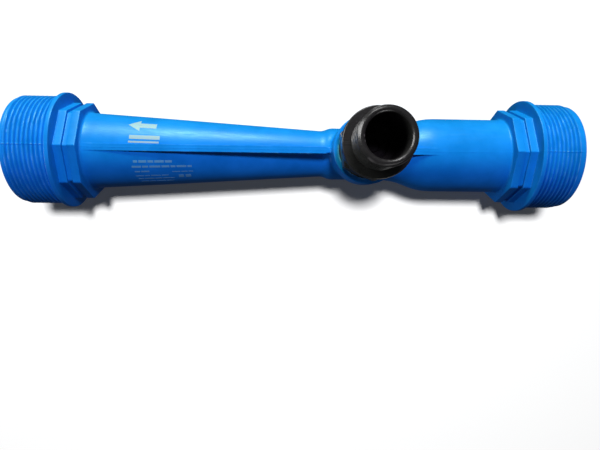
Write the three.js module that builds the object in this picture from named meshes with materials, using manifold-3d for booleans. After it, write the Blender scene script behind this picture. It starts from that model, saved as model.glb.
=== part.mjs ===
// Venturi injector for dosing a pool or spa return line, with a spring-loaded suction check valve.
// Units are millimetres. +X runs along the water run towards the inlet, +Z points out of the suction port,
// and the origin is on the ground under the middle of the run.
import * as THREE from 'three';
import { mergeVertices } from 'three/addons/utils/BufferGeometryUtils.js';
import Module from 'manifold-3d';

const wasm = await Module();
wasm.setup();

// ---------------------------------------------------------------- driving dimensions

// run: distances along X are measured from the suction port axis, which crosses the throat
const inletLength = 116.5;
const outletLength = 188.5;
const runSides = 32;

const pipeThread = { crest: 29.8, root: 28.32, pitch: 2.309 };
const outletThread = { leadIn: 1.6, length: 22.3 };
const inletThread = { leadIn: 3, length: 19.7 };
const leadInRadius = 28.96;
const leadInChamfer = 0.8;
const flangeRadius = 31.9;
const flangeThickness = 2.2;
const socketRadius = 23.6;

const wrenchCorner = 26.86;
const wrenchGrooveCorner = 25.2;
const wrenchRib = 4.2;
const wrenchGroove = 2.8;

const inletTubeRadius = 20.8;
const outletConeRadius = 20.8;
const outletConeLength = 40;
const outletConeMid = 18.6;
const hubRadius = 14.8;
const coneTipRadius = 13.2;
const hubStart = -20;
const hubEnd = 17;
const hubShoulder = 4;
const neckEnd = 37;

const inletBore = { radius: 16.4, start: 41 };
const nozzle = { radius: 7, length: 3 };
const chamber = { radius: 10.4, halfLength: 6 };
const throat = { radius: 8, length: 6 };
const diffuser = { radius: 17.4, end: -147.2 };

const ribThickness = 2.8;
const ribEdge = 20.6;
const ribStart = -147;
const ribEnd = 42;

// suction port: heights are measured from the run axis
const bossRadius = 18.2;
const bossTop = 27.5;
const bossChamfer = 0.6;
const bossFoot = { radius: 9, bottom: -6, top: 10 };
const portThread = { crest: 13.22, root: 12.06, pitch: 1.814 };
const portSides = 24;
const socketFloor = 14.2;
const passageRadius = 6.2;
const gasketSeat = { inner: 13.52, outer: 15.1, depth: 1.6 };

// gaps and edges: moving pieces clear each other by clearance and rubber rings clear their seats by
// sealGap, what is joined runs lap into its neighbour, and cutters reach overshoot past a face
const clearance = 0.3;
const sealGap = 0.15;
const lap = 0.2;
const overshoot = 1;
const edgeChamfer = 0.4;

// suction valve
const shoulder = { radius: 14.3, top: 30 };
const hex = { corner: 17.2, top: 39, turn: 7 };
const cup = { radius: 15.9, top: 50.2, bore: 13.3, floor: 41.4 };
const valveChamberRadius = 10.6;
const valveOutletRadius = 8;
const capCollar = { radius: 17.2, top: 55.8 };
const spigotNeck = 0.6;
const spigotTop = 77.4;
const spigotBore = 10.05;
const capSkirt = { radius: 13, bottom: 42 };
const capSeatRadius = 7;
const capSeatThickness = 3;
const capRing = { inner: 13.35, outer: 15.6, groove: 1.6 };

const poppet = { disc: 8.8, top: 39.9, thickness: 2, stem: 2, stemBottom: 17.4 };
const sealRing = { inner: 3.3, outer: 8.5, thickness: 1.8 };
const guide = { radius: 10.3, hub: 3.6, bore: 2.3, bottom: 19.2, top: 21.7, arm: 2, rim: 1.8 };
const spring = { radius: 5.6, wire: 0.6, turns: 6, halfSides: 3, steps: 14 };
const valveSides = 20;

// lowest facet of the flanges lies on the ground
const runHeight = flangeRadius * Math.cos(Math.PI / runSides);
const portX = (outletLength - inletLength) / 2;

// ---------------------------------------------------------------- materials

const bluePlastic = new THREE.MeshStandardMaterial({ color: 0x0f78dc, roughness: 0.38, metalness: 0 });
const blackPlastic = new THREE.MeshStandardMaterial({ color: 0x1b1c1d, roughness: 0.45, metalness: 0 });
const greyPlastic = new THREE.MeshStandardMaterial({ color: 0x2c2d2e, roughness: 0.5, metalness: 0 });
const blackRubber = new THREE.MeshStandardMaterial({ color: 0x101010, roughness: 0.8, metalness: 0 });
const stainlessSteel = new THREE.MeshStandardMaterial({ color: 0xb8babb, roughness: 0.3, metalness: 1 });

// ---------------------------------------------------------------- solids

// Turns a closed geometry into a solid. Shared corners are merged and collapsed triangles dropped.
function toSolid(geometry) {
  const bare = geometry.clone();
  bare.deleteAttribute('normal');
  bare.deleteAttribute('uv');
  const merged = mergeVertices(bare, 1e-4);
  const points = merged.getAttribute('position').array;
  const corners = merged.getIndex().array;
  const kept = [];
  let volume = 0;
  for (let i = 0; i < corners.length; i += 3) {
    const [a, b, c] = [corners[i], corners[i + 1], corners[i + 2]];
    if (a === b || b === c || c === a) continue;
    kept.push(a, b, c);
    const p = new THREE.Vector3().fromArray(points, a * 3);
    const q = new THREE.Vector3().fromArray(points, b * 3);
    const r = new THREE.Vector3().fromArray(points, c * 3);
    volume += p.dot(q.cross(r));
  }
  if (volume < 0) kept.reverse();
  const mesh = new wasm.Mesh({
    numProp: 3,
    vertProperties: new Float32Array(points),
    triVerts: new Uint32Array(kept),
  });
  return new wasm.Manifold(mesh);
}

function toGeometry(solid) {
  const mesh = solid.getMesh();
  const geometry = new THREE.BufferGeometry();
  geometry.setAttribute('position', new THREE.BufferAttribute(mesh.vertProperties, 3));
  geometry.setIndex(new THREE.BufferAttribute(mesh.triVerts, 1));
  geometry.computeVertexNormals();
  return geometry;
}

function joined(solids) {
  return solids.reduce((whole, piece) => whole.add(piece));
}

// A turned body about Z. The outline is a list of [radius, height] and starts and ends on the axis,
// or closes on itself as a ring.
function turnedGeometry(outline, sides) {
  const points = outline.map(([radius, height]) => new THREE.Vector2(radius, height));
  return new THREE.LatheGeometry(points, sides, Math.PI / sides).rotateX(Math.PI / 2);
}

function turned(outline, sides) {
  return toSolid(turnedGeometry(outline, sides));
}

function disc(radius, bottom, top, sides) {
  return turned([[0, bottom], [radius, bottom], [radius, top], [0, top]], sides);
}

function ring(inner, outer, bottom, top, sides) {
  return turned([[inner, bottom], [outer, bottom], [outer, top], [inner, top], [inner, bottom]], sides);
}

// A turned body about the run axis. The outline is a list of [x, radius].
function turnedAlongRun(outline) {
  const flipped = outline.map(([x, radius]) => [radius, x]);
  return toSolid(turnedGeometry(flipped, runSides).rotateY(Math.PI / 2));
}

function hexagon(cornerRadius, bottom, top, degrees) {
  const geometry = new THREE.CylinderGeometry(cornerRadius, cornerRadius, top - bottom, 6);
  return toSolid(geometry.rotateX(Math.PI / 2).translate(0, 0, (top + bottom) / 2)).rotate([0, 0, degrees]);
}

// Its corners lie across the run, along it and half-way between.
function octagonAlongRun(cornerRadius, start, end) {
  const geometry = new THREE.CylinderGeometry(cornerRadius, cornerRadius, end - start, 8);
  return toSolid(geometry.rotateZ(-Math.PI / 2).translate((start + end) / 2, 0, 0));
}

// A right-hand screw about Z that starts at height zero. Every turn is the same row of corners, moved up
// by one pitch, so the last side of a turn meets the first side of the next. Its two ends are ragged.
// A row is [share of the pitch, radius]: a sharp root, and a crest that is flat over its middle.
function screw({ crest, root, pitch }, turns, sides) {
  const rows = [[0, root], [0.3, crest], [0.7, crest]];
  const rowCount = turns * rows.length;
  const positions = [];
  for (let side = 0; side <= sides; side++) {
    const angle = (side / sides) * 2 * Math.PI;
    for (let row = 0; row < rowCount; row++) {
      const [offset, radius] = rows[row % rows.length];
      const height = (Math.floor(row / rows.length) + offset + side / sides) * pitch;
      positions.push(radius * Math.cos(angle), radius * Math.sin(angle), height);
    }
  }
  const corner = (side, row) => side * rowCount + row;
  const bottom = positions.push(0, 0, 0) / 3 - 1;
  const top = positions.push(0, 0, turns * pitch) / 3 - 1;
  const last = rowCount - 1;
  const triangles = [];
  for (let side = 0; side < sides; side++) {
    for (let row = 0; row < last; row++) {
      triangles.push(corner(side, row), corner(side + 1, row), corner(side + 1, row + 1));
      triangles.push(corner(side, row), corner(side + 1, row + 1), corner(side, row + 1));
    }
    triangles.push(bottom, corner(side + 1, 0), corner(side, 0));
    triangles.push(top, corner(side, last), corner(side + 1, last));
  }
  for (let row = 0; row < rows.length; row++) {
    triangles.push(bottom, corner(0, row), corner(0, row + 1));
    triangles.push(top, corner(sides, last - row), corner(sides, last - row - 1));
  }
  const geometry = new THREE.BufferGeometry();
  geometry.setAttribute('position', new THREE.Float32BufferAttribute(positions, 3));
  geometry.setIndex(triangles);
  return geometry;
}

// A threaded length between two heights, trimmed square, with its free end chamfered at the top.
function threadedRod(thread, bottom, top, sides) {
  const turns = Math.ceil((top - bottom) / thread.pitch) + 3;
  const whole = screw(thread, turns, sides).translate(0, 0, bottom - 1.5 * thread.pitch);
  const outside = thread.crest + overshoot;
  const inside = thread.root - sealGap;
  const shoulderHeight = top - (outside - inside);
  const envelope = [
    [0, bottom],
    [outside, bottom],
    [outside, shoulderHeight],
    [inside, top],
    [0, top],
  ];
  return toSolid(whole).intersect(turned(envelope, sides));
}

// ---------------------------------------------------------------- injector body

const outletEnd = -outletLength;
const outletFlange = outletEnd + outletThread.leadIn + outletThread.length;
const outletWrench = outletFlange + flangeThickness;
const wrenchLength = 2 * wrenchRib + wrenchGroove;
const outletCone = outletWrench + wrenchLength;
const inletFlange = inletLength - inletThread.leadIn - inletThread.length;
const inletWrench = inletFlange - flangeThickness;
const inletTube = inletWrench - wrenchLength;

// The run's outside without its threads, wrench ribs and stiffening ribs, which are joined to it.
function outerRun() {
  const core = pipeThread.root - edgeChamfer;
  const wrenchCore = wrenchGrooveCorner * Math.cos(Math.PI / 8) - edgeChamfer;
  const outline = [
    [outletEnd, 0],
    [outletEnd, leadInRadius - leadInChamfer],
    [outletEnd + leadInChamfer, leadInRadius],
    [outletEnd + outletThread.leadIn, leadInRadius],
    [outletEnd + outletThread.leadIn + edgeChamfer, core],
    [outletFlange, core],
    [outletFlange, flangeRadius],
    [outletWrench, flangeRadius],
    [outletWrench, wrenchCore],
    [outletCone, wrenchCore],
    [outletCone, outletConeRadius],
    [outletCone + outletConeLength, outletConeMid],
    [hubStart - hubShoulder, coneTipRadius],
    [hubStart, hubRadius],
    [hubEnd, hubRadius],
    ...neckFlare(8),
    [inletTube, inletTubeRadius],
    [inletTube, wrenchCore],
    [inletWrench, wrenchCore],
    [inletWrench, flangeRadius],
    [inletFlange, flangeRadius],
    [inletFlange, core],
    [inletLength - inletThread.leadIn - edgeChamfer, core],
    [inletLength - inletThread.leadIn, leadInRadius],
    [inletLength - leadInChamfer, leadInRadius],
    [inletLength, leadInRadius - leadInChamfer],
    [inletLength, 0],
  ];
  return turnedAlongRun(outline);
}

// The outside swells from the hub to the inlet tube along half a cosine wave.
function neckFlare(steps) {
  const points = [];
  for (let step = 1; step <= steps; step++) {
    const part = step / steps;
    const swell = (1 - Math.cos(Math.PI * part)) / 2;
    const x = hubEnd + (neckEnd - hubEnd) * part;
    points.push([x, hubRadius + (inletTubeRadius - hubRadius) * swell]);
  }
  return points;
}

// The water's way through: inlet socket, converging nozzle, mixing chamber, throat and long diffuser.
function waterway() {
  const outline = [
    [outletEnd - overshoot, 0],
    [outletEnd - overshoot, socketRadius],
    [outletWrench, socketRadius],
    [diffuser.end, diffuser.radius],
    [-chamber.halfLength - throat.length, throat.radius],
    [-chamber.halfLength, throat.radius],
    [-chamber.halfLength, chamber.radius],
    [chamber.halfLength, chamber.radius],
    [chamber.halfLength, nozzle.radius],
    [chamber.halfLength + nozzle.length, nozzle.radius],
    [inletBore.start, inletBore.radius],
    [inletTube, inletBore.radius],
    [inletWrench, socketRadius],
    [inletLength + overshoot, socketRadius],
    [inletLength + overshoot, 0],
  ];
  return turnedAlongRun(outline);
}

// A wrench section: two eight-sided ribs with a groove between them.
function wrenchRibs(start, end) {
  return [
    octagonAlongRun(wrenchCorner, start, start + wrenchRib),
    octagonAlongRun(wrenchGrooveCorner, start, end),
    octagonAlongRun(wrenchCorner, end - wrenchRib, end),
  ];
}

function suctionBoss() {
  const outline = [
    [0, bossFoot.bottom],
    [bossFoot.radius, bossFoot.bottom],
    [bossRadius, bossFoot.top],
    [bossRadius, bossTop - bossChamfer],
    [bossRadius - bossChamfer, bossTop],
    [0, bossTop],
  ];
  return turned(outline, runSides);
}

function suctionSocket() {
  const socket = portThread.crest + clearance;
  const seat = gasketSeat.outer + sealGap;
  const outline = [
    [0, 0],
    [passageRadius, 0],
    [passageRadius, socketFloor],
    [socket, socketFloor],
    [socket, bossTop - gasketSeat.depth],
    [seat, bossTop - gasketSeat.depth],
    [seat, bossTop + overshoot],
    [0, bossTop + overshoot],
  ];
  return turned(outline, portSides);
}

function injectorBody() {
  const rib = new THREE.BoxGeometry(ribEnd - ribStart, ribThickness, 2 * ribEdge);
  rib.translate((ribEnd + ribStart) / 2, 0, 0);
  const outletScrew = threadedRod(pipeThread, 0, outletThread.length, runSides);
  const inletScrew = threadedRod(pipeThread, 0, inletThread.length, runSides);
  const whole = joined([
    outerRun(),
    toSolid(rib),
    suctionBoss(),
    ...wrenchRibs(outletWrench - lap, outletCone),
    ...wrenchRibs(inletTube, inletWrench + lap),
    outletScrew.rotate([0, -90, 0]).translate([outletFlange + lap, 0, 0]),
    inletScrew.rotate([0, 90, 0]).translate([inletFlange - lap, 0, 0]),
  ]);
  return whole.subtract(waterway()).subtract(suctionSocket());
}

// ---------------------------------------------------------------- suction valve

function bossGasket() {
  const bottom = bossTop - gasketSeat.depth + sealGap;
  return ring(gasketSeat.inner, gasketSeat.outer, bottom, bossTop - sealGap, portSides);
}

function valveHousing() {
  const outside = joined([
    disc(portThread.crest, socketFloor + clearance, bossTop, portSides),
    disc(shoulder.radius, bossTop, shoulder.top, portSides),
    hexagon(hex.corner, shoulder.top - lap, hex.top, hex.turn),
    disc(cup.radius, hex.top - lap, cup.top, portSides),
  ]);
  const inside = [
    [0, socketFloor],
    [valveOutletRadius, socketFloor],
    [valveOutletRadius, guide.bottom - clearance],
    [valveChamberRadius, guide.bottom - clearance],
    [valveChamberRadius, cup.floor],
    [cup.bore, cup.floor],
    [cup.bore, cup.top + overshoot],
    [0, cup.top + overshoot],
  ];
  return outside.subtract(turned(inside, portSides));
}

function valveCap() {
  const collarBottom = cup.top + clearance;
  const grooveTop = collarBottom + capRing.groove;
  const core = portThread.root - edgeChamfer;
  const thread = threadedRod(portThread, capCollar.top + spigotNeck, spigotTop, portSides);
  const outline = [
    [0, capSkirt.bottom],
    [capSkirt.radius - edgeChamfer, capSkirt.bottom],
    [capSkirt.radius, capSkirt.bottom + edgeChamfer],
    [capSkirt.radius, grooveTop],
    [capRing.outer + sealGap, grooveTop],
    [capRing.outer + sealGap, collarBottom],
    [capCollar.radius - edgeChamfer, collarBottom],
    [capCollar.radius, collarBottom + edgeChamfer],
    [capCollar.radius, capCollar.top - edgeChamfer],
    [capCollar.radius - edgeChamfer, capCollar.top],
    [core, capCollar.top],
    [core, spigotTop],
    [0, spigotTop],
  ];
  const bore = [
    [0, capSkirt.bottom - overshoot],
    [capSeatRadius, capSkirt.bottom - overshoot],
    [capSeatRadius, capSkirt.bottom + capSeatThickness],
    [spigotBore, capSkirt.bottom + 2 * capSeatThickness],
    [spigotBore, spigotTop + overshoot],
    [0, spigotTop + overshoot],
  ];
  return turned(outline, portSides).add(thread).subtract(turned(bore, portSides));
}

function capORing() {
  const bottom = cup.top + clearance;
  return ring(capRing.inner, capRing.outer, bottom, bottom + capRing.groove - sealGap, portSides);
}

// The poppet is a disc on a stem, with a knob on the disc that the seal is stretched over.
function poppetBody() {
  const knobTop = poppet.top + sealRing.thickness - clearance;
  const knobRadius = sealRing.inner - clearance;
  const discBottom = poppet.top - poppet.thickness;
  const outline = [
    [0, poppet.stemBottom],
    [poppet.stem, poppet.stemBottom],
    [poppet.stem, discBottom],
    [poppet.disc, discBottom],
    [poppet.disc, poppet.top],
    [knobRadius, poppet.top],
    [knobRadius, knobTop],
    [0, knobTop],
  ];
  return turned(outline, valveSides);
}

function poppetSeal() {
  const bottom = poppet.top + sealGap;
  return ring(sealRing.inner, sealRing.outer, bottom, poppet.top + sealRing.thickness, valveSides);
}

// A spider: a rim and a hub with three arms between them.
function stemGuide() {
  const rimRadius = guide.radius - guide.rim;
  const arm = new THREE.BoxGeometry(rimRadius - guide.bore, guide.arm, guide.top - guide.bottom);
  arm.translate((rimRadius + guide.bore) / 2 + lap, 0, (guide.top + guide.bottom) / 2);
  const pieces = [
    ring(rimRadius, guide.radius, guide.bottom, guide.top, valveSides),
    disc(guide.hub, guide.bottom, guide.top, valveSides),
  ];
  for (const turn of [0, 120, 240]) {
    pieces.push(toSolid(arm).rotate([0, 0, turn]));
  }
  const hole = disc(guide.bore, guide.bottom - overshoot, guide.top + overshoot, valveSides);
  return joined(pieces).subtract(hole);
}

// The coil stands on the stem guide and pushes on the underside of the poppet's disc.
class Coil extends THREE.Curve {
  constructor(bottom, top) {
    super();
    this.bottom = bottom;
    this.top = top;
  }

  getPoint(part, target = new THREE.Vector3()) {
    const angle = part * spring.turns * 2 * Math.PI;
    const height = THREE.MathUtils.lerp(this.bottom, this.top, part);
    return target.set(spring.radius * Math.cos(angle), spring.radius * Math.sin(angle), height);
  }
}

function valveSpring() {
  const section = new THREE.Shape();
  section.absarc(0, 0, spring.wire, 0, 2 * Math.PI);
  const gap = spring.wire + sealGap;
  const coil = new Coil(guide.top + gap, poppet.top - poppet.thickness - gap);
  const geometry = new THREE.ExtrudeGeometry(section, {
    curveSegments: spring.halfSides,
    steps: spring.turns * spring.steps,
    extrudePath: coil,
  });
  return toSolid(geometry);
}

// ---------------------------------------------------------------- assembly

function named(name, solid, material) {
  const mesh = new THREE.Mesh(toGeometry(solid), material);
  mesh.name = name;
  return mesh;
}

const injector = new THREE.Group();
injector.position.set(portX, 0, runHeight);
injector.add(
  named('injector_body', injectorBody(), bluePlastic),
  named('boss_gasket', bossGasket(), blackRubber),
  named('valve_housing', valveHousing(), blackPlastic),
  named('stem_guide', stemGuide(), greyPlastic),
  named('valve_spring', valveSpring(), stainlessSteel),
  named('poppet', poppetBody(), greyPlastic),
  named('poppet_seal', poppetSeal(), blackRubber),
  named('cap_o_ring', capORing(), blackRubber),
  named('valve_cap', valveCap(), blackPlastic),
);

export default injector;
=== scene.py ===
"""Looks of the venturi injector: a blue moulded run with a black suction check valve screwed into it.

Shapes are worked out in millimetres, in a design frame whose origin is where the suction port's axis
crosses the run's axis, with +X towards the inlet and +Z out of the port. place() turns that into the
row frame in metres.
"""
import math

import bmesh
import bpy
import numpy as np
from mathutils import Matrix, Vector


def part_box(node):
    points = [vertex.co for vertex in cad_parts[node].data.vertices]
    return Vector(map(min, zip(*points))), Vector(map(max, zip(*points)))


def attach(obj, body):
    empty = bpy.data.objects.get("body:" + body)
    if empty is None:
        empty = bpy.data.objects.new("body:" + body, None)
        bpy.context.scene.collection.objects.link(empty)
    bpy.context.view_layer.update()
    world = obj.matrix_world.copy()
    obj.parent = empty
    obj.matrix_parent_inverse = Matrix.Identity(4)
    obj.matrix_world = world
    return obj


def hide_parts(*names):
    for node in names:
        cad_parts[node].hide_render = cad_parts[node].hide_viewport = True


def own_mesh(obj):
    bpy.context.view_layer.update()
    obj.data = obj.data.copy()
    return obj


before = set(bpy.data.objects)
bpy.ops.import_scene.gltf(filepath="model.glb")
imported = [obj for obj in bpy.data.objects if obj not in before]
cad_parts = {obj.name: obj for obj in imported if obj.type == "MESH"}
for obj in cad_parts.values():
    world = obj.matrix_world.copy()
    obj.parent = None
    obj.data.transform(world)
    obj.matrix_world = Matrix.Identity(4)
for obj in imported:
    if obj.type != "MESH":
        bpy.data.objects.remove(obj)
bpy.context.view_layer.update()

MM = 0.001
scene = bpy.context.scene

# ------------------------------------------------------------------ places taken from the frame

body_low, body_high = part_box("injector_body")
housing_low, housing_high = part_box("valve_housing")
cap_low, cap_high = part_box("valve_cap")
guide_low, guide_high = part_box("stem_guide")
poppet_low, poppet_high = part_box("poppet")

PORT_X = (cap_low[0] + cap_high[0]) / 2 / MM
RUN_Z = (body_high[1] - body_low[1]) / 2 / MM
FLANGE_RADIUS = RUN_Z
INLET_END = body_high[0] / MM - PORT_X
OUTLET_END = body_low[0] / MM - PORT_X
CAP_BOTTOM = cap_low[2] / MM - RUN_Z
SPIGOT_TOP = cap_high[2] / MM - RUN_Z
HOUSING_BOTTOM = housing_low[2] / MM - RUN_Z
CUP_TOP = housing_high[2] / MM - RUN_Z
CUP_RADIUS = (housing_high[0] - housing_low[0]) / 2 / MM
GUIDE_BOTTOM = guide_low[2] / MM - RUN_Z
GUIDE_TOP = guide_high[2] / MM - RUN_Z
GUIDE_RADIUS = (guide_high[1] - guide_low[1]) / 2 / MM
STEM_BOTTOM = poppet_low[2] / MM - RUN_Z
POPPET_TOP = poppet_high[2] / MM - RUN_Z

# ------------------------------------------------------------------ dimensions in millimetres

PIPE_THREAD = {"crest": 29.8, "root": 28.32, "pitch": 2.309}
PORT_THREAD = {"crest": 13.22, "root": 12.06, "pitch": 1.814}
CAP_THREAD = {"crest": 13.0, "root": 12.2, "pitch": 1.5}
THREAD_GAP = 0.26
ROOT_SHARE, FLANK_SHARE = 0.14, 0.62

# the blue moulding's outside
LEAD_IN_RADIUS = 28.96
OUTLET_LEAD_IN, OUTLET_THREADED = 1.6, 22.3
INLET_LEAD_IN, INLET_THREADED = 3.0, 19.7
FLANGE_THICKNESS = 2.2
WRENCH_CORNER = 26.86
WRENCH_CORNER_TRIM = 0.12
WRENCH_GROOVE = 25.2
WRENCH_RIB_LENGTH = 4.2
WRENCH_GROOVE_LENGTH = 2.8
INLET_TUBE_RADIUS = 20.8
CONE_RADIUS = 21.0
CONE_MID_RADIUS = 18.6
CONE_MID_LENGTH = 40
CONE_TIP_RADIUS = 12.9
HUB_RADIUS = 14.6
HUB_START = -18
HUB_END = 17
NECK_END = 37
RIB_HALF_THICKNESS = 1.8412
RIB_EDGE = 20.6
RIB_SLOPE = 0.12
BOSS_RADIUS = 18.2
BOSS_BOTTOM = -6
BOSS_TOP = 27.5
SEAM_HALF_WIDTH = 0.28
SEAM_HEIGHT, THREAD_SEAM_HEIGHT = 0.05, 0.22

# the ways through it
SOCKET_RADIUS = 23.6
INLET_BORE = 16.4
NOZZLE_RADIUS, NOZZLE_LENGTH = 7, 3
MIXING_RADIUS, MIXING_HALF_LENGTH = 10.4, 6
THROAT_RADIUS, THROAT_LENGTH = 8, 6
DIFFUSER_RADIUS = 17.4
PORT_SOCKET_FLOOR = 14.2
PASSAGE_RADIUS = 6.2
GASKET_INNER = 13.52
GASKET_OUTER = 15.1
GASKET_DEPTH = 1.6

# the suction valve
SHOULDER_RADIUS = 14.3
HEX_BOTTOM = 30.0
HEX_TOP = 39.0
HEX_CORNER = 17.2
HEX_FLAT = HEX_CORNER * math.cos(math.pi / 6)
HEX_TURN = math.radians(7)
CUP_FLOOR = 41.4
CHAMBER_RADIUS = 10.6
VALVE_OUTLET_RADIUS = 8.0
COLLAR_RADIUS = 17.2
COLLAR_TOP = 55.8
RING_INNER = 13.35
RING_OUTER = 15.6
RING_GROOVE = 1.6
RING_GAP = 0.3
SPIGOT_BORE = 10.05
SEAT_RADIUS = 7.0
SEAT_THICKNESS = 3.0
STEM_RADIUS = 2.0
DISC_RADIUS = 8.8
DISC_BOTTOM = 37.9
DISC_TOP = 39.9
KNOB_RADIUS = 3.0
SEAL_TOP = 41.7
SPRING_RADIUS = 5.6
WIRE_RADIUS = 0.6
SPRING_TURNS = 7.2

# rows and columns of the meshes: steps along the run in millimetres, and arcs round it in degrees
RUN_STEP, HUB_STEP, BORE_STEP, THREAD_STEP = 3.0, 1.1, 8.0, 20.0
HUB_REACH = 26
ROWS_PER_PITCH = 11
RUN_COLUMNS, RIB_ARC, RIB_STEP, CORNER_HALF_ARC = 192, 10, 0.5, 0.7
VALVE_COLUMNS, BOSS_COLUMNS, SMALL_COLUMNS, WIRE_COLUMNS = 192, 144, 96, 12

PRINT_DEPTH = 0.06


# ------------------------------------------------------------------ mesh helpers

def place(points):
    """Design points in millimetres to the row frame in metres."""
    return (np.asarray(points, float) + (PORT_X, 0.0, RUN_Z)) * MM


def rounded(corners, steps=4):
    """A closed outline through [u, v, size, extra] corners, each rounded by a parabola of its size."""
    corners = [tuple(c) + (0.0,) * (4 - len(c)) for c in corners]
    path = []
    for k, (u, v, size, extra) in enumerate(corners):
        here = np.array([u, v])
        before = np.array(corners[k - 1][:2]) - here
        after = np.array(corners[(k + 1) % len(corners)][:2]) - here
        before_length, after_length = np.linalg.norm(before), np.linalg.norm(after)
        reach = min(size, 0.45 * before_length, 0.45 * after_length)
        if reach < 1e-6:
            path.append((u, v, extra))
            continue
        start = here + before / before_length * reach
        end = here + after / after_length * reach
        for t in np.linspace(0, 1, steps + 1):
            point = (1 - t) ** 2 * start + 2 * t * (1 - t) * here + t ** 2 * end
            path.append((point[0], point[1], extra))
    return np.array(path)


def densified(path, spacing, closed=True):
    """Adds rows along a path, so that no step is longer than spacing(row before, row after)."""
    ends = np.roll(path, -1, axis=0) if closed else path[1:]
    rows = []
    for a, b in zip(path, ends):
        count = max(1, math.ceil(np.linalg.norm((b - a)[:2]) / spacing(a, b)))
        for t in np.arange(count) / count:
            rows.append(a + (b - a) * t)
    if not closed:
        rows.append(path[-1])
    return np.array(rows)


def smooth_max(a, b, size):
    """The larger of two values, blended over size where they are close."""
    blend = np.clip(0.5 + 0.5 * (a - b) / size, 0, 1)
    return b + (a - b) * blend + size * blend * (1 - blend)


def smooth_step(low, high, value):
    """0 below low, 1 above high, and an S curve between them."""
    t = np.clip((value - low) / (high - low), 0, 1)
    return t * t * (3 - 2 * t)


def mesh_object(name, points, faces):
    """A piece from points in metres and the faces between them."""
    mesh = bpy.data.meshes.new(name)
    mesh.from_pydata(points.tolist(), [], faces)
    mesh.validate()
    piece = bpy.data.objects.new(name, mesh)
    scene.collection.objects.link(piece)
    return piece


def grid_faces(rows, columns, closed_rows):
    """Quads of a grid whose columns close on themselves, and whose rows may."""
    faces = []
    for row in range(rows if closed_rows else rows - 1):
        here, there = row * columns, (row + 1) % rows * columns
        for column in range(columns):
            beside = (column + 1) % columns
            faces.append((here + column, here + beside, there + beside, there + column))
    return faces


def outward(piece):
    """Turns the faces of a closed piece outward."""
    work = bmesh.new()
    work.from_mesh(piece.data)
    bmesh.ops.recalc_face_normals(work, faces=work.faces)
    if work.calc_volume(signed=True) < 0:
        bmesh.ops.reverse_faces(work, faces=work.faces)
    work.to_mesh(piece.data)
    work.free()


def shade(piece, sharp_degrees):
    """Smooth shading, apart from edges sharper than this angle."""
    piece.data.shade_smooth()
    piece.data.set_sharp_from_angle(angle=math.radians(sharp_degrees))


def ring_grid(name, grid):
    """A piece from a grid of points, rows by columns by 3, that closes on itself both ways."""
    rows, columns, _ = grid.shape
    piece = mesh_object(name, place(grid.reshape(-1, 3)), grid_faces(rows, columns, True))
    outward(piece)
    return piece


def pole_mesh(grid):
    """Points and faces of a grid whose first and last rows lie on its axis."""
    rows, columns, _ = grid.shape
    inner = grid[1:-1]
    faces = grid_faces(rows - 2, columns, False)
    first, last = (rows - 2) * columns, (rows - 2) * columns + 1
    end = (rows - 3) * columns
    for column in range(columns):
        beside = (column + 1) % columns
        faces.append((first, beside, column))
        faces.append((last, end + column, end + beside))
    return np.vstack([inner.reshape(-1, 3), grid[0, :1], grid[-1, :1]]), faces


def pole_grid(name, grid):
    """A piece from a grid whose first and last rows lie on its axis."""
    points, faces = pole_mesh(grid)
    piece = mesh_object(name, place(points), faces)
    outward(piece)
    return piece


def thread_radius(thread, along, angle):
    """Radius of a right-hand thread with rounded crests and roots. The two shares are of half a
    pitch, and the crest has what they leave."""
    phase = (along / thread["pitch"] - angle / (2 * math.pi)) % 1
    wave = 1 - np.abs(2 * phase - 1)
    flank = np.clip((wave - ROOT_SHARE) / FLANK_SHARE, 0, 1)
    lift = 0.5 * flank + 0.5 * flank * flank * (3 - 2 * flank)
    return thread["root"] + (thread["crest"] - thread["root"]) * lift


# what is cut into a stretch of a turned piece, where 0 is nothing, and how far apart its rows are
HEXAGON, PORT_MALE, PORT_SOCKET, CAP_MALE, CAP_SOCKET = (float(kind) for kind in range(1, 6))
ROW_STEP = {HEXAGON: 0.5, PORT_MALE: 0.17, PORT_SOCKET: 0.22, CAP_MALE: 0.17, CAP_SOCKET: 0.2}


def cut_radius(kind, radius, height, angle):
    """Radius of a turned piece's outline once its thread or hexagon is cut into it."""
    port = thread_radius(PORT_THREAD, height, angle)
    cap = thread_radius(CAP_THREAD, height, angle)
    off = (angle - HEX_TURN + math.pi / 6) % (math.pi / 3) - math.pi / 6
    cuts = {
        HEXAGON: np.minimum(radius, HEX_FLAT / np.cos(off)),
        PORT_MALE: np.minimum(radius, port),
        PORT_SOCKET: np.minimum(radius, port + THREAD_GAP),
        CAP_MALE: np.minimum(radius, cap),
        CAP_SOCKET: np.maximum(radius, cap + THREAD_GAP),
    }
    for name, cut in cuts.items():
        radius = np.where(kind == name, cut, radius)
    return radius


def turned(name, corners, columns=VALVE_COLUMNS, spacing=60.0):
    """A piece turned about the port's axis from [radius, height, rounding, kind] corners. It is solid
    where they start and end on the axis, and otherwise a ring."""
    solid = corners[0][0] == 0

    def step(a, b):
        return ROW_STEP.get(a[2], spacing) if a[2] == b[2] else spacing

    path = densified(rounded(corners), step, closed=not solid)
    angle = np.arange(columns) / columns * 2 * math.pi
    height = path[:, 1:2] + 0 * angle
    radius = cut_radius(path[:, 2:3], path[:, :1] + 0 * angle, height, angle)
    grid = np.stack([radius * np.cos(angle), radius * np.sin(angle), height], axis=-1)
    return pole_grid(name, grid) if solid else ring_grid(name, grid)


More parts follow.
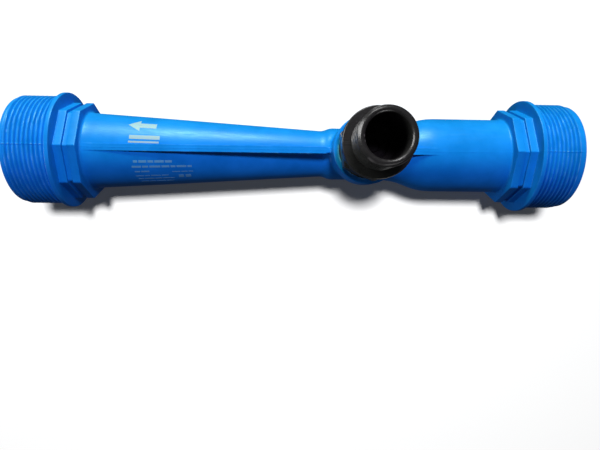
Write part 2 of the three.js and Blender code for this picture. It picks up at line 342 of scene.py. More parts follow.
def combined(piece, other, operation):
    """The first piece after a boolean with the other one, which is used up."""
    modifier = piece.modifiers.new("cut", "BOOLEAN")
    modifier.operation = operation
    modifier.object = other
    modifier.solver = "MANIFOLD"
    graph = bpy.context.evaluated_depsgraph_get()
    mesh = bpy.data.meshes.new_from_object(piece.evaluated_get(graph))
    piece.modifiers.clear()
    old = piece.data
    piece.data = mesh
    mesh.name = piece.name
    bpy.data.meshes.remove(old)
    bpy.data.objects.remove(other)
    return piece


def finish_piece(piece, material, body, slot, *nodes):
    """Gives a piece its material and the body it rides on, and hides the CAD nodes it replaces. The
    slot is not used.
    """
    piece.data.materials.clear()
    piece.data.materials.append(material)
    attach(piece, body)
    if nodes:
        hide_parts(*nodes)
    return piece


# ------------------------------------------------------------------ materials

def new_material(name, colour, roughness, metallic=0.0):
    """A material and its shader, with the values that its textures don't replace."""
    material = bpy.data.materials.new(name)
    material.use_nodes = True
    shader = material.node_tree.nodes["Principled BSDF"]
    shader.inputs["Base Color"].default_value = (*colour, 1)
    shader.inputs["Roughness"].default_value = roughness
    shader.inputs["Metallic"].default_value = metallic
    return material, shader


def add_node(material, kind, inputs=None, **settings):
    """A node with its inputs set to values or linked to sockets. The world takes nodes this way too."""
    node = material.node_tree.nodes.new(kind)
    for key, value in settings.items():
        setattr(node, key, value)
    for key, value in (inputs or {}).items():
        if isinstance(value, bpy.types.NodeSocket):
            material.node_tree.links.new(value, node.inputs[key])
        else:
            node.inputs[key].default_value = value
    return node


def object_noise(material, scale, detail=3.0, stretch=(1, 1, 1)):
    """Noise fixed to the object, with scale in cells per metre."""
    place_in = add_node(material, "ShaderNodeTexCoord").outputs["Object"]
    mapped = add_node(material, "ShaderNodeMapping", {"Vector": place_in, "Scale": stretch})
    inputs = {"Vector": mapped.outputs["Vector"], "Scale": scale, "Detail": detail, "Roughness": 0.6}
    return add_node(material, "ShaderNodeTexNoise", inputs).outputs["Fac"]


def spread(material, value, low, high, out_low, out_high):
    """Maps low..high to out_low..out_high, held at both ends."""
    inputs = {"Value": value, "From Min": low, "From Max": high, "To Min": out_low, "To Max": out_high}
    return add_node(material, "ShaderNodeMapRange", inputs).outputs["Result"]


def mixed_colour(material, share, first, second):
    """Mixes two colours or colour sockets by a share."""
    node = add_node(material, "ShaderNodeMix", data_type="RGBA")
    links = material.node_tree.links
    links.new(share, node.inputs["Factor"])
    colour_sockets = (node.inputs[6], node.inputs[7])
    for socket, value in zip(colour_sockets, (first, second)):
        if isinstance(value, bpy.types.NodeSocket):
            links.new(value, socket)
        else:
            socket.default_value = (*value, 1)
    colour_output = node.outputs[2]
    return colour_output


def add_skin(material, shader, height, strength, depth):
    """Bump from a height, with its depth in metres."""
    inputs = {"Height": height, "Strength": strength, "Distance": depth}
    bump = add_node(material, "ShaderNodeBump", inputs)
    material.node_tree.links.new(bump.outputs["Normal"], shader.inputs["Normal"])


def moulded_plastic(name, colour, wear_and_highlight_colour, roughness, specular, grain, grain_depth):
    """Moulded plastic: mottled colour, pale edges that are wear from rubbing and a painted highlight,
    fine skin texture and uneven gloss. Its grain is in cells per metre and the grain's depth in metres."""
    material, shader = new_material(name, colour, roughness)
    links = material.node_tree.links
    mottle = spread(material, object_noise(material, 60, 4), 0.3, 0.7, 0, 1)
    dark = tuple(c * 0.86 for c in colour)
    light = tuple(min(1, c * 1.08 + 0.004) for c in colour)
    tone = mixed_colour(material, mottle, dark, light)
    # pale edges on every sharp edge: partly wear from rubbing, partly a painted highlight
    pointed = add_node(material, "ShaderNodeNewGeometry").outputs["Pointiness"]
    edge = spread(material, pointed, 0.53, 0.6, 0, 1)
    patch = spread(material, object_noise(material, 240, 5), 0.42, 0.66, 0, 1)
    edge_wear_and_highlight = add_node(material, "ShaderNodeMath", {0: edge, 1: patch}, operation="MULTIPLY").outputs[0]
    links.new(mixed_colour(material, edge_wear_and_highlight, tone, wear_and_highlight_colour), shader.inputs["Base Color"])
    scuff = object_noise(material, 900, 2, (0.12, 1, 1))
    gloss = spread(material, scuff, 0.35, 0.75, roughness * 0.9, roughness * 1.25)
    links.new(gloss, shader.inputs["Roughness"])
    add_skin(material, shader, object_noise(material, grain, 3), 0.5, grain_depth)
    shader.inputs["Specular IOR Level"].default_value = specular
    return material


def rubber(name):
    """Smooth black rubber with a faint uneven bloom."""
    material, shader = new_material(name, (0.012, 0.012, 0.0125), 0.62)
    links = material.node_tree.links
    bloom = spread(material, object_noise(material, 400, 5), 0.4, 0.75, 0, 1)
    links.new(mixed_colour(material, bloom, (0.01, 0.01, 0.0105), (0.024, 0.024, 0.025)),
              shader.inputs["Base Color"])
    links.new(spread(material, bloom, 0, 1, 0.5, 0.75), shader.inputs["Roughness"])
    add_skin(material, shader, object_noise(material, 3500, 2), 0.4, 0.00004)
    return material


def drawn_wire(name):
    """Stainless spring wire, with the faint lines that drawing leaves along it."""
    material, shader = new_material(name, (0.62, 0.62, 0.63), 0.24, 1.0)
    links = material.node_tree.links
    lines = object_noise(material, 2500, 4, (1, 1, 0.2))
    steel = mixed_colour(material, lines, (0.5, 0.5, 0.51), (0.74, 0.74, 0.75))
    links.new(steel, shader.inputs["Base Color"])
    links.new(spread(material, lines, 0.3, 0.7, 0.18, 0.34), shader.inputs["Roughness"])
    add_skin(material, shader, lines, 0.3, 0.00002)
    return material


def printed_ink(name, colour):
    """Pad print that has thinned a little with wear."""
    material, shader = new_material(name, colour, 0.55)
    links = material.node_tree.links
    thin = spread(material, object_noise(material, 1500, 4), 0.45, 0.8, 0, 0.6)
    blue_below = (0.1, 0.35, 0.8)
    links.new(mixed_colour(material, thin, colour, blue_below), shader.inputs["Base Color"])
    links.new(spread(material, thin, 0, 1, 0.5, 0.7), shader.inputs["Roughness"])
    add_skin(material, shader, thin, 0.3, 0.00002)
    return material


# ------------------------------------------------------------------ camera, floor and lights

def add_camera():
    """Looks almost straight down on the run, from over its outlet half."""
    data = bpy.data.cameras.new("camera")
    data.sensor_width = 36
    data.lens = 28.83
    data.clip_start = 0.01
    camera = bpy.data.objects.new("camera", data)
    scene.collection.objects.link(camera)
    forward = Vector((0.039, -0.0418, -1)).normalized()
    sideways = Vector((1, 0.01, 0.039))
    right = (sideways - forward * sideways.dot(forward)).normalized()
    up = right.cross(forward)
    turn = Matrix((right, up, -forward)).transposed().to_4x4()
    where = place((-45.0, -29.5, 278.4))
    camera.matrix_world = Matrix.Translation(where) @ turn
    scene.camera = camera


def add_area_light(name, where, size, power, colour=(1, 1, 1)):
    """A rectangular lamp that faces the part, with where and size in metres and power in watts."""
    data = bpy.data.lights.new(name, "AREA")
    data.shape = "RECTANGLE"
    data.size, data.size_y = size
    data.energy = power
    data.color = colour
    light = bpy.data.objects.new(name, data)
    scene.collection.objects.link(light)
    middle_of_run = Vector(place(((INLET_END + OUTLET_END) / 2, 0, 0)))
    turn = (middle_of_run - Vector(where)).to_track_quat("-Z", "Y").to_matrix().to_4x4()
    light.matrix_world = Matrix.Translation(where) @ turn
    return light


def reach(name, things, state):
    """A list of things that a light reaches (INCLUDE) or misses (EXCLUDE)."""
    linked = bpy.data.collections.new(name)
    for thing in things:
        linked.objects.link(thing)
    for entry in linked.collection_objects:
        entry.light_linking.link_state = state
    return linked


def light_only(light, things, state="INCLUDE"):
    """Makes a light reach only these things, or with EXCLUDE everything but them."""
    light.light_linking.receiver_collection = reach(light.name + "_reach", things, state)


def add_floor():
    """A pale floor with painted light: it glows more the farther it is from the part, out of the lamp's
    reach, and glows faintly near the part, which lifts its shadows.
    """
    half = 3.0
    corners = np.array([(-half, -half, 0), (half, -half, 0), (half, half, 0), (-half, half, 0)])
    floor = mesh_object("floor", corners, [(0, 1, 2, 3)])
    material, shader = new_material("pale_floor", (0.86, 0.86, 0.86), 0.9)
    shader.inputs["Emission Color"].default_value = (1, 1, 1, 1)
    spot = add_node(material, "ShaderNodeTexCoord").outputs["Object"]
    distance = add_node(material, "ShaderNodeVectorMath", {0: spot}, operation="LENGTH")
    glow = spread(material, distance.outputs["Value"], 0.5, 1.8, 0.024, 0.8)
    material.node_tree.links.new(glow, shader.inputs["Emission Strength"])
    material.cycles.emission_sampling = "NONE"
    floor.data.materials.append(material)
    floor.visible_diffuse = False
    floor.visible_glossy = False
    return floor


def add_world():
    """A faint cool light all round, which looks as pale as the far floor."""
    world = bpy.data.worlds.new("studio")
    scene.world = world
    world.use_nodes = True
    lit = world.node_tree.nodes["Background"]
    lit.inputs["Color"].default_value = (0.8, 0.9, 1, 1)
    lit.inputs["Strength"].default_value = 0.035
    seen = add_node(world, "ShaderNodeBackground", {"Color": (1, 1, 1, 1), "Strength": 0.82})
    to_camera = add_node(world, "ShaderNodeLightPath").outputs["Is Camera Ray"]
    shaders = {0: to_camera, 1: lit.outputs[0], 2: seen.outputs[0]}
    both = add_node(world, "ShaderNodeMixShader", shaders).outputs[0]
    world.node_tree.links.new(both, world.node_tree.nodes["World Output"].inputs["Surface"])
    scene.view_settings.view_transform = "Standard"


def add_lights(floor, moulding):
    """A low window and an overhead lamp, with cards past both ends and a weak fill. The window is
    greener on the blue moulding, the floor has a lamp of its own, and one card streaks the black."""
    overhead = add_area_light("overhead", (0.09, 0.36, 1.05), (0.16, 0.2), 8.4, (0.92, 0.78, 1))
    overhead.visible_glossy = False
    light_only(overhead, [floor], "EXCLUDE")
    where, size = (-0.12, 0.95, 0.55), (0.36, 0.45)
    light_only(add_area_light("window", where, size, 9), [floor, *moulding], "EXCLUDE")
    window_on_blue = add_area_light("window_on_blue", where, size, 12.4, (0.82, 1.44, 0.79))
    light_only(window_on_blue, moulding)
    light_only(add_area_light("outlet_card", (-0.9, -0.08, 0.13), (0.3, 0.2), 2.6), moulding)
    light_only(add_area_light("inlet_card", (0.95, 0.16, 0.13), (0.4, 0.2), 1.6), moulding)
    streak = add_area_light("streak_card", (-0.5, 0.22, 0.27), (0.35, 0.3), 4)
    light_only(streak, [floor, *moulding], "EXCLUDE")
    where, size = (0.45, -0.9, 0.16), (0.5, 0.25)
    light_only(add_area_light("fill", where, size, 3), [floor, *moulding], "EXCLUDE")
    fill_on_blue = add_area_light("fill_on_blue", where, size, 0.3)
    fill_on_blue.visible_glossy = False
    light_only(fill_on_blue, moulding)
    floor_lamp = add_area_light("floor_lamp", (-0.06, 0.21, 1.2), (0.18, 0.18), 19)
    light_only(floor_lamp, [floor])
    floor_lamp.light_linking.blocker_collection = reach("floor_lamp_shades", moulding, "INCLUDE")


# ------------------------------------------------------------------ blue moulding

OUTLET_FLANGE = OUTLET_END + OUTLET_LEAD_IN + OUTLET_THREADED
OUTLET_WRENCH = OUTLET_FLANGE + FLANGE_THICKNESS
WRENCH_LENGTH = 2 * WRENCH_RIB_LENGTH + WRENCH_GROOVE_LENGTH
OUTLET_CONE = OUTLET_WRENCH + WRENCH_LENGTH
CONE_MID = OUTLET_CONE + CONE_MID_LENGTH
CONE_TIP = HUB_START - 4
INLET_FLANGE = INLET_END - INLET_LEAD_IN - INLET_THREADED
INLET_WRENCH = INLET_FLANGE - FLANGE_THICKNESS
INLET_TUBE = INLET_WRENCH - WRENCH_LENGTH
OUTLET_THREAD = (OUTLET_END + OUTLET_LEAD_IN, OUTLET_FLANGE)
INLET_THREAD = (INLET_FLANGE, INLET_END - INLET_LEAD_IN)

# what a stretch of the run's outline is
BORE, ROUND, OCTAGON = 0.0, 1.0, 2.0


def wrench_corners(start):
    """Corners of one wrench section: two eight-sided ribs with a shallow groove between them."""
    groove, rib, soft = WRENCH_GROOVE, WRENCH_CORNER, 0.35
    first, second = start + WRENCH_RIB_LENGTH, start + WRENCH_RIB_LENGTH + WRENCH_GROOVE_LENGTH
    end = start + WRENCH_LENGTH
    return [
        (start, rib, 0.3, OCTAGON), (first, rib, soft, OCTAGON), (first, groove, soft, OCTAGON),
        (second, groove, soft, OCTAGON), (second, rib, soft, OCTAGON), (end, rib, 0.5, OCTAGON),
    ]


def run_outline():
    """Closed outline of the run: along its outside towards the inlet, then back through its bore."""
    outside = [
        (OUTLET_END, LEAD_IN_RADIUS, 0.9, ROUND), (OUTLET_FLANGE, LEAD_IN_RADIUS, 0.3, ROUND),
        (OUTLET_FLANGE, FLANGE_RADIUS, 0.45, ROUND), (OUTLET_WRENCH, FLANGE_RADIUS, 0.45, ROUND),
        *wrench_corners(OUTLET_WRENCH),
        (OUTLET_CONE, CONE_RADIUS, 1.6, ROUND), (CONE_MID, CONE_MID_RADIUS, 6, ROUND),
        (CONE_TIP, CONE_TIP_RADIUS, 3, ROUND), (HUB_START, HUB_RADIUS, 2, ROUND),
        (HUB_END + 2, HUB_RADIUS, 9, ROUND), (NECK_END - 3, INLET_TUBE_RADIUS, 10, ROUND),
        (INLET_TUBE, INLET_TUBE_RADIUS, 1.2, ROUND),
        *wrench_corners(INLET_TUBE),
        (INLET_WRENCH, FLANGE_RADIUS, 0.45, ROUND), (INLET_FLANGE, FLANGE_RADIUS, 0.45, ROUND),
        (INLET_FLANGE, LEAD_IN_RADIUS, 0.3, ROUND), (INLET_END, LEAD_IN_RADIUS, 0.9, ROUND),
    ]
    mixing, nozzle = MIXING_HALF_LENGTH, MIXING_HALF_LENGTH + NOZZLE_LENGTH
    bore = [
        (INLET_END, SOCKET_RADIUS, 0.6), (INLET_WRENCH, SOCKET_RADIUS, 1),
        (INLET_TUBE, INLET_BORE, 2), (NECK_END + 4, INLET_BORE, 6),
        (nozzle, NOZZLE_RADIUS, 2), (mixing, NOZZLE_RADIUS, 0.3),
        (mixing, MIXING_RADIUS, 0.5), (-mixing, MIXING_RADIUS, 0.5),
        (-mixing, THROAT_RADIUS, 0.5), (-mixing - THROAT_LENGTH, THROAT_RADIUS, 4),
        (OUTLET_CONE + 4, DIFFUSER_RADIUS, 3),
        (OUTLET_WRENCH, SOCKET_RADIUS, 1), (OUTLET_END, SOCKET_RADIUS, 0.6),
    ]
    return rounded(outside + bore)


def in_thread(x, ends):
    return (x > ends[0]) & (x < ends[1])


def in_either_thread(x):
    return in_thread(x, OUTLET_THREAD) | in_thread(x, INLET_THREAD)


def row_spacing(before, after):
    """Rows crowd together where the boss joins the hub. The threads get theirs in split_threads."""
    x = (before[0] + after[0]) / 2
    if before[2] == BORE or after[2] == BORE:
        return BORE_STEP
    if in_either_thread(x):
        return THREAD_STEP
    return HUB_STEP if abs(x) < HUB_REACH else RUN_STEP


def run_columns():
    """Angles round the run, closer together at the ribs and at the corners of the wrench sections."""
    angles = set(np.round(np.arange(0, 360, 360 / RUN_COLUMNS), 4))
    for middle in (90, 270):
        angles -= {a for a in angles if abs(a - middle) < RIB_ARC}
        angles |= set(np.round(middle + np.arange(-RIB_ARC, RIB_ARC + 0.01, RIB_STEP), 4))
    for corner in range(0, 360, 45):
        angles |= {(corner - CORNER_HALF_ARC) % 360, corner + CORNER_HALF_ARC}
    return np.radians(sorted(angles))


def split_threads(path):
    """Fills the long straight row of each thread with the rows that its profile needs."""
    row_length = PIPE_THREAD["pitch"] / ROWS_PER_PITCH
    rows = []
    for a, b in zip(path, np.roll(path, -1, axis=0)):
        rows.append(a)
        length = abs(b[0] - a[0])
        straight = a[2] == ROUND and b[2] == ROUND and length > 10
        if straight and in_either_thread((a[0] + b[0]) / 2):
            count = math.ceil(length / row_length)
            rows += [a + (b - a) * k / count for k in range(1, count)]
    return np.array(rows)


def octagon_radius(corner, angle):
    """Radius of an octagon with this corner radius. Its corners are trimmed a little."""
    off = (angle % (math.pi / 4)) - math.pi / 8
    flat = corner * math.cos(math.pi / 8) / np.cos(off)
    return np.minimum(flat, corner - WRENCH_CORNER_TRIM)


def rib_radius(x, angle):
    """Radius of the two stiffening ribs, which stand in the moulding's parting plane."""
    off = np.abs((angle % math.pi) - math.pi / 2)
    edge = RIB_EDGE - RIB_SLOPE * np.maximum(x - NECK_END, 0)
    top = edge / np.cos(off)
    wall = RIB_HALF_THICKNESS / np.maximum(np.sin(off), 1e-3)
    rib = -smooth_max(-top, -wall, 0.7)
    return np.where(x < NECK_END + 8, rib, 0)


def run_grid():
    """Points of the run: its outline, with the wrench flats, threads, ribs and seams worked in."""
    path = split_threads(densified(run_outline(), row_spacing))
    angles = run_columns()[None, :]
    x, radius, code = path[:, 0:1], path[:, 1:2], path[:, 2:3]
    share = np.clip(code - ROUND, 0, 1)
    outer = radius * (1 - share) + octagon_radius(radius, angles) * share
    lift = thread_radius(PIPE_THREAD, x, angles) - LEAD_IN_RADIUS
    for lead_in, flange in (OUTLET_THREAD, INLET_THREAD[::-1]):
        fade = smooth_step(0.1, 1.0, np.abs(x - lead_in)) * smooth_step(0.1, 0.5, np.abs(x - flange))
        threaded = in_thread(x, sorted((lead_in, flange))) & (radius < LEAD_IN_RADIUS + 0.01)
        outer = outer + lift * np.where(threaded, fade, 0)
    ribbed = smooth_max(outer, rib_radius(x, angles), 0.5)
    can_rib = (code == ROUND) & (x > OUTLET_CONE + 1.5) & (x < INLET_TUBE - 2)
    off = np.abs((angles % math.pi) - math.pi / 2) * radius
    seam_height = np.where(in_either_thread(x), THREAD_SEAM_HEIGHT, SEAM_HEIGHT)
    seam = seam_height * np.exp(-(off / SEAM_HALF_WIDTH) ** 2)
    outer = np.where(can_rib, ribbed, outer) + seam
    outer = np.where(code < ROUND, radius, outer)
    return np.stack([x + 0 * angles, outer * np.cos(angles), outer * np.sin(angles)], axis=-1)


def boss():
    """The suction boss as a solid. The extra corner on top keeps its pale edge, wear from rubbing and
    painted highlight, near its edge.
    """
    return turned("boss", [
        (0, BOSS_BOTTOM), (9, BOSS_BOTTOM, 1), (BOSS_RADIUS, 10, 4), (BOSS_RADIUS, BOSS_TOP, 0.9),
        (GASKET_OUTER + 0.6, BOSS_TOP), (0, BOSS_TOP),
    ], BOSS_COLUMNS, HUB_STEP)


def socket_cutter():
    """The threaded socket in the boss, its gasket seat and the passage down to the mixing chamber."""
    seat = BOSS_TOP - GASKET_DEPTH
    crest = PORT_THREAD["crest"] + THREAD_GAP
    above = BOSS_TOP + 2
    floor = PORT_SOCKET_FLOOR
    return turned("socket", [
        (0, 1), (PASSAGE_RADIUS, 1), (PASSAGE_RADIUS, floor, 0.3), (crest, floor, 0.4),
        (crest, floor + 0.8, 0, PORT_SOCKET), (crest, seat, 0.1, PORT_SOCKET),
        (GASKET_OUTER + 0.2, seat, 0.2), (GASKET_OUTER + 0.3, above), (0, above),
    ], BOSS_COLUMNS)


def soften_boss_foot(piece):
    """Rounds the crease where the boss grows out of the hub by relaxing the corners close to it."""
    work = bmesh.new()
    work.from_mesh(piece.data)
    centre = Vector(place((0, 0, 0)))
    near = []
    for vertex in work.verts:
        x, y, z = (vertex.co - centre) / MM
        from_run_axis = math.hypot(y, z)
        on_boss_side = abs(math.hypot(x, y) - BOSS_RADIUS) < 2.2
        on_hub = abs(from_run_axis - HUB_RADIUS) < 2.5 or abs(y) < 3
        if z > -4 and on_boss_side and on_hub and from_run_axis < BOSS_TOP - 3:
            near.append(vertex)
    every_way = {"use_axis_x": True, "use_axis_y": True, "use_axis_z": True}
    for _ in range(14):
        bmesh.ops.smooth_vert(work, verts=near, factor=0.5, **every_way)
    work.to_mesh(piece.data)
    work.free()


def injector_body(material):
    piece = ring_grid("injector_body_moulding", run_grid())
    piece = combined(piece, boss(), "UNION")
    soften_boss_foot(piece)
    piece = combined(piece, socket_cutter(), "DIFFERENCE")
    shade(piece, 32)
    return finish_piece(piece, material, "injector", "blue_plastic", "injector_body")


# ------------------------------------------------------------------ suction valve

def valve_housing(material):
    """Screwed into the boss: male thread, shoulder, hexagon, and a cup with the cap's thread in it."""
    crest, neck = PORT_THREAD["crest"] + 0.02, PORT_THREAD["root"]
    minor = CAP_THREAD["root"] + THREAD_GAP
    relief = minor + 0.84
    hex_edge = HEX_CORNER - 0.15
    guide_seat = GUIDE_BOTTOM - 0.3
    piece = turned("valve_housing_shell", [
        (VALVE_OUTLET_RADIUS, HOUSING_BOTTOM, 0.4), (neck - 0.1, HOUSING_BOTTOM, 0.1, PORT_MALE),
        (crest, HOUSING_BOTTOM + 1.3, 0.1, PORT_MALE), (crest, BOSS_TOP - 2.2, 0.1, PORT_MALE),
        (neck + 0.2, BOSS_TOP - 1.1, 0.2), (neck + 0.2, BOSS_TOP, 0.3),
        (SHOULDER_RADIUS, BOSS_TOP, 0.4), (SHOULDER_RADIUS, HEX_BOTTOM, 0.6),
        (HEX_FLAT - 0.1, HEX_BOTTOM, 0.1, HEXAGON),
        (hex_edge, HEX_BOTTOM + 1, 0.2, HEXAGON), (hex_edge, HEX_TOP - 1, 0.2, HEXAGON),
        (HEX_FLAT - 0.1, HEX_TOP, 0.1, HEXAGON), (CUP_RADIUS - 0.9, HEX_TOP, 0.4),
        (CUP_RADIUS, HEX_TOP + 1, 0.6), (CUP_RADIUS, CUP_TOP, 0.6), (minor + 1, CUP_TOP, 0.2),
        (minor, CUP_TOP - 1, 0.1, CAP_SOCKET), (minor, CUP_FLOOR + 1.6, 0.1, CAP_SOCKET),
        (relief, CUP_FLOOR + 1.2, 0.1), (relief, CUP_FLOOR, 0.3), (CHAMBER_RADIUS, CUP_FLOOR, 0.3),
        (CHAMBER_RADIUS, guide_seat, 0.3), (VALVE_OUTLET_RADIUS, guide_seat, 0.4),
    ])
    shade(piece, 34)
    return finish_piece(piece, material, "suction_valve", "black_plastic", "valve_housing")


def valve_cap(material):
    """The suction spigot: skirt with the valve seat, collar with the O-ring's groove, hose thread."""
    crest, neck = PORT_THREAD["crest"] + 0.02, PORT_THREAD["root"] - 0.3
    skirt, waist = CAP_THREAD["crest"] + 0.02, CAP_THREAD["root"] + 0.5
    under = CUP_TOP + RING_GAP
    groove_wall, groove_top = RING_OUTER + 0.1, under + RING_GROOVE
    start = COLLAR_TOP + 0.7
    piece = turned("valve_cap_spigot", [
        (SEAT_RADIUS, CAP_BOTTOM, 0.5), (CAP_THREAD["root"] - 0.1, CAP_BOTTOM, 0.1, CAP_MALE),
        (skirt, CAP_BOTTOM + 1, 0.1, CAP_MALE), (skirt, under - 0.9, 0.1, CAP_MALE),
        (waist, under - 0.2, 0.2), (waist, groove_top, 0.5),
        (groove_wall, groove_top, 0.4), (groove_wall, under, 0.3), (COLLAR_RADIUS, under, 0.6),
        (COLLAR_RADIUS, COLLAR_TOP, 0.7), (neck, COLLAR_TOP, 0.5), (neck, start, 0.1),
        (neck + 0.1, start + 0.1, 0, PORT_MALE), (crest, start + 1.4, 0.1, PORT_MALE),
        (crest, SPIGOT_TOP - 1.3, 0.1, PORT_MALE), (PORT_THREAD["root"] - 0.1, SPIGOT_TOP - 0.1, 0.3),
        (SPIGOT_BORE + 0.9, SPIGOT_TOP, 0.5), (SPIGOT_BORE, SPIGOT_TOP - 0.9, 0.5),
        (SPIGOT_BORE, CAP_BOTTOM + 2 * SEAT_THICKNESS, 0.6),
        (SEAT_RADIUS, CAP_BOTTOM + SEAT_THICKNESS, 0.6),
    ])
    shade(piece, 34)
    return finish_piece(piece, material, "cap", "black_plastic", "valve_cap")


def flat_ring(name, inner, outer, low, high, soft, columns):
    """A turned ring of rectangular section, with its edges rounded by soft."""
    corners = ((inner, low), (outer, low), (outer, high), (inner, high))
    return turned(name, [(*corner, soft) for corner in corners], columns)


def boss_gasket(material):
    low, high = BOSS_TOP - GASKET_DEPTH + 0.05, BOSS_TOP - 0.05
    piece = flat_ring("boss_gasket_ring", GASKET_INNER, GASKET_OUTER, low, high, 0.35, BOSS_COLUMNS)
    shade(piece, 50)
    return finish_piece(piece, material, "boss_seal", "black_rubber", "boss_gasket")


def cap_o_ring(material):
    """Its round section is pressed a little flat between the collar and the cup."""
    middle = (RING_INNER + RING_OUTER) / 2
    half_width, half_height = (RING_OUTER - RING_INNER) / 2, RING_GROOVE / 2 - 0.04
    height = CUP_TOP + RING_GAP / 2 + RING_GROOVE / 2
    section = [
        (middle + half_width * math.cos(turn), height + half_height * math.sin(turn))
        for turn in np.linspace(0, 2 * math.pi, 20, endpoint=False)
    ]
    piece = turned("cap_o_ring_round", section, BOSS_COLUMNS)
    shade(piece, 60)
    return finish_piece(piece, material, "cap_seal", "black_rubber", "cap_o_ring")


def poppet(material):
    """A disc on a stem, with a step under it that centres the spring and a knob that holds the seal."""
    step, step_radius = DISC_BOTTOM - 1.2, SPRING_RADIUS - WIRE_RADIUS - 0.3
    piece = turned("poppet_and_stem", [
        (0, STEM_BOTTOM), (STEM_RADIUS - 0.5, STEM_BOTTOM, 0.2), (STEM_RADIUS, STEM_BOTTOM + 0.6, 0.3),
        (STEM_RADIUS, step, 0.6), (step_radius, step, 0.3), (step_radius, DISC_BOTTOM, 0.2),
        (DISC_RADIUS, DISC_BOTTOM, 0.3), (DISC_RADIUS, DISC_TOP, 0.3), (KNOB_RADIUS, DISC_TOP, 0.2),
        (KNOB_RADIUS, POPPET_TOP, 0.5), (0, POPPET_TOP),
    ], SMALL_COLUMNS)
    shade(piece, 40)
    return finish_piece(piece, material, "poppet", "grey_plastic", "poppet")


def poppet_seal(material):
    """The ring on the disc, raised where it meets the seat."""
    inner, outer, bottom = KNOB_RADIUS + 0.2, DISC_RADIUS - 0.3, DISC_TOP + 0.04
    sunk = SEAL_TOP - 0.5
    piece = turned("poppet_seal_ring", [
        (inner, bottom, 0.2), (outer, bottom, 0.3), (outer, SEAL_TOP, 0.5),
        (SEAT_RADIUS - 0.8, SEAL_TOP, 0.4), (SEAT_RADIUS - 1.4, sunk, 0.4), (inner, sunk, 0.3),
    ], SMALL_COLUMNS)
    shade(piece, 50)
    return finish_piece(piece, material, "poppet", "black_rubber", "poppet_seal")


def guide_arm(turn):
    """One arm of the stem guide, a rounded bar from its hub to its rim."""
    half, low, high, soft = 1.0, GUIDE_BOTTOM + 0.2, GUIDE_TOP - 0.2, 0.35
    section = rounded([(-half, low, soft), (half, low, soft), (half, high, soft), (-half, high, soft)])
    middle = section[:, :2].mean(axis=0)
    start, end = 2.8, GUIDE_RADIUS - 1.2
    rows = []
    for out, share in ((start, 0), (start, 1), (end, 1), (end, 0)):
        across = middle + (section[:, :2] - middle) * share
        rows.append([(out, side, height) for side, height in across])
    grid = np.array(rows)
    x, y = grid[..., 0].copy(), grid[..., 1].copy()
    grid[..., 0] = x * math.cos(turn) - y * math.sin(turn)
    grid[..., 1] = x * math.sin(turn) + y * math.cos(turn)
    return pole_grid("arm", grid)


def stem_guide(material):
    """A rim and a hub joined by three arms."""
    low, high, soft = GUIDE_BOTTOM, GUIDE_TOP, 0.4
    rim, hub, hole = GUIDE_RADIUS - 1.8, 3.6, STEM_RADIUS + 0.3
    piece = flat_ring("stem_guide_spider", rim, GUIDE_RADIUS, low, high, soft, SMALL_COLUMNS)
    for turn in (0, 2 * math.pi / 3, 4 * math.pi / 3):
        piece = combined(piece, guide_arm(turn), "UNION")
    sleeve = flat_ring("hub", hole, hub, low, high, soft, SMALL_COLUMNS)
    inside = hole + 0.4
    core = turned("hub_core", [(0, low - 1), (inside, low - 1), (inside, high + 1), (0, high + 1)],
                  SMALL_COLUMNS)
    piece = combined(combined(piece, core, "DIFFERENCE"), sleeve, "UNION")
    shade(piece, 40)
    return finish_piece(piece, material, "suction_valve", "grey_plastic", "stem_guide")


def valve_spring(material):
    """A coil with closed end turns."""
    turn = np.linspace(0, SPRING_TURNS, 350)
    low, high = GUIDE_TOP + WIRE_RADIUS + 0.1, DISC_BOTTOM - WIRE_RADIUS - 0.1
    opened = smooth_step(0.7, 1.3, turn) * smooth_step(0.7, 1.3, SPRING_TURNS - turn)
    step = turn[1] - turn[0]
    closed_pitch = 2 * WIRE_RADIUS + 0.03
    open_pitch = (high - low - closed_pitch * SPRING_TURNS) / (opened[:-1].sum() * step)
    turns_opened = np.concatenate([[0], np.cumsum(opened[:-1]) * step])
    height = low + closed_pitch * turn + open_pitch * turns_opened
    angle = turn * 2 * math.pi
    outward_way = np.stack([np.cos(angle), np.sin(angle), 0 * angle], axis=-1)
    centre = SPRING_RADIUS * outward_way + np.stack([0 * angle, 0 * angle, height], axis=-1)
    along = np.gradient(centre, axis=0)
    along /= np.linalg.norm(along, axis=1, keepdims=True)
    upward = np.cross(along, outward_way)
    around = np.linspace(0, 2 * math.pi, WIRE_COLUMNS, endpoint=False)[None, :, None]
    section = np.cos(around) * outward_way[:, None] + np.sin(around) * upward[:, None]
    rows = centre[:, None] + WIRE_RADIUS * section
    ends = [np.repeat(centre[k][None, None], WIRE_COLUMNS, axis=1) for k in (0, -1)]
    piece = pole_grid("valve_spring_coil", np.concatenate([ends[0], rows, ends[1]]))
    shade(piece, 60)
    finish_piece(piece, material, "suction_valve", "stainless_wire", "valve_spring")
    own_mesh(piece)
    return piece


# ------------------------------------------------------------------ prints on the outlet cone

def cone_radius(x):
    places = [OUTLET_CONE, CONE_MID, CONE_TIP]
    return np.interp(x, places, [CONE_RADIUS, CONE_MID_RADIUS, CONE_TIP_RADIUS])


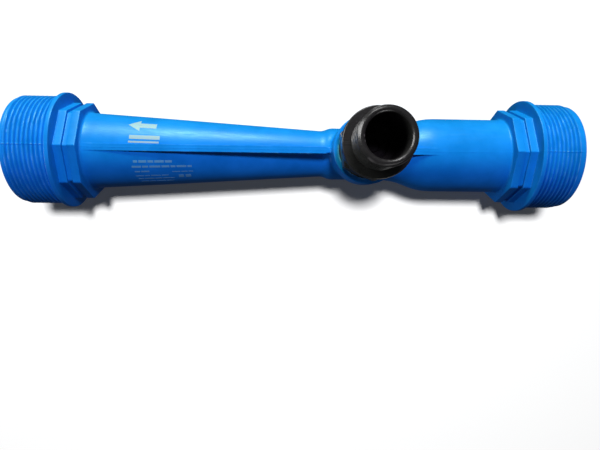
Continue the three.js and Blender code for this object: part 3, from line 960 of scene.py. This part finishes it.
def printed_patch(stations, degrees):
    """Points and faces of a thin layer of ink on the cone, from [x, half-width] stations."""
    rows = []
    for (x0, w0), (x1, w1) in zip(stations[:-1], stations[1:]):
        count = max(1, math.ceil((x1 - x0) / 1.5))
        rows += [(x0 + (x1 - x0) * k / count, w0 + (w1 - w0) * k / count) for k in range(count)]
    rows.append(stations[-1])
    across = np.linspace(-1, 1, 9)
    loop = np.concatenate([across, across[::-1]])
    layer = PRINT_DEPTH * np.repeat([1, -1], len(across))
    grid = []
    for x, half_width in rows:
        radius = cone_radius(x)
        angle = math.radians(degrees) + loop * half_width / radius
        ring = [x + 0 * angle, (radius + layer) * np.cos(angle), (radius + layer) * np.sin(angle)]
        grid.append(np.stack(ring, axis=-1))
    ends = [np.repeat(grid[k].mean(axis=0)[None, None], len(loop), axis=1) for k in (0, -1)]
    return pole_mesh(np.concatenate([ends[0], np.array(grid), ends[1]]))


def printed(name, patches, material):
    """One piece from all the patches of a print."""
    points, faces = [], []
    for stations, degrees in patches:
        more_points, more_faces = printed_patch(stations, degrees)
        faces += [tuple(corner + len(points) for corner in face) for face in more_faces]
        points += more_points.tolist()
    piece = mesh_object(name, place(points), faces)
    outward(piece)
    shade(piece, 40)
    return finish_piece(piece, material, "injector", None)


def blocks(start, end, degrees, half_width, longest, first):
    """Plain blocks in a row with narrow gaps. Their lengths vary by the golden ratio."""
    gap, shortest = 0.6, 2.2
    patches = []
    x, number = start, first
    while x < end - shortest:
        stop = min(end, x + shortest + (longest - shortest) * (number * 0.618 % 1))
        patches.append(([(x, half_width), (stop, half_width)], degrees))
        x = stop + gap
        number += 1
    return patches


def flow_mark(material):
    """An arrow that points to the outlet, over two plain bars."""
    tip, neck, tail = -127.2, -121.2, -112.6
    arrow = ([(tip, 0.1), (neck, 4.0), (neck + 0.01, 1.7), (tail, 1.7)], 50)
    bars = [([(-126.0, 1.1), (-110.2, 1.1)], 73), ([(-126.4, 0.5), (-110.6, 0.5)], 81)]
    return printed("flow_mark", [arrow, *bars], material)


def marking_field(material):
    """Plain dashes where a block of small print would be, with two larger blocks beside them.
    Each row has its start and end, its place round the cone in degrees, half its width and its
    longest dash."""
    rows = [
        (-124.3, -104.0, 112.0, 0.65, 5.4),
        (-125.3, -93.7, 121.0, 0.55, 6.4),
        (-124.2, -116.5, 130.0, 0.4, 4.6),
        (-104.5, -92.7, 131.5, 0.25, 4.6),
        (-124.2, -106.0, 139.0, 0.3, 6.4),
        (-123.2, -102.2, 146.0, 0.3, 6.4),
        (-122.5, -104.0, 154.0, 0.3, 5.0),
    ]
    patches = [([(-101.4, 1.0), (-98.7, 1.0)], 142), ([(-97.7, 1.0), (-94.8, 1.0)], 142)]
    for number, (start, end, degrees, half_width, longest) in enumerate(rows):
        patches += blocks(start, end, degrees, half_width, longest, number)
    return printed("marking_field", patches, material)


# ------------------------------------------------------------------ build

add_camera()
add_world()
stage_floor = add_floor()
blue = moulded_plastic(
    "blue_plastic", (0.002, 0.185, 0.72), wear_and_highlight_colour=(0.2, 0.5, 0.9), roughness=0.36, specular=0.28,
    grain=1400, grain_depth=0.00005,
)
black = moulded_plastic(
    "black_plastic", (0.012, 0.0125, 0.0115), wear_and_highlight_colour=(0.13, 0.13, 0.125), roughness=0.3, specular=0.5,
    grain=1800, grain_depth=0.00004,
)
grey = moulded_plastic(
    "grey_plastic", (0.01, 0.0105, 0.011), wear_and_highlight_colour=(0.06, 0.06, 0.06), roughness=0.5, specular=0.2,
    grain=1800, grain_depth=0.00003,
)
dark_rubber = rubber("black_rubber")
moulding_pieces = [
    injector_body(blue),
    flow_mark(printed_ink("white_ink", (0.31, 0.35, 0.49))),
    marking_field(printed_ink("thin_ink", (0.1, 0.33, 0.64))),
]
valve_housing(black)
valve_cap(black)
boss_gasket(dark_rubber)
cap_o_ring(dark_rubber)
poppet(grey)
poppet_seal(dark_rubber)
stem_guide(grey)
valve_spring(drawn_wire("stainless_wire"))
add_lights(stage_floor, moulding_pieces)
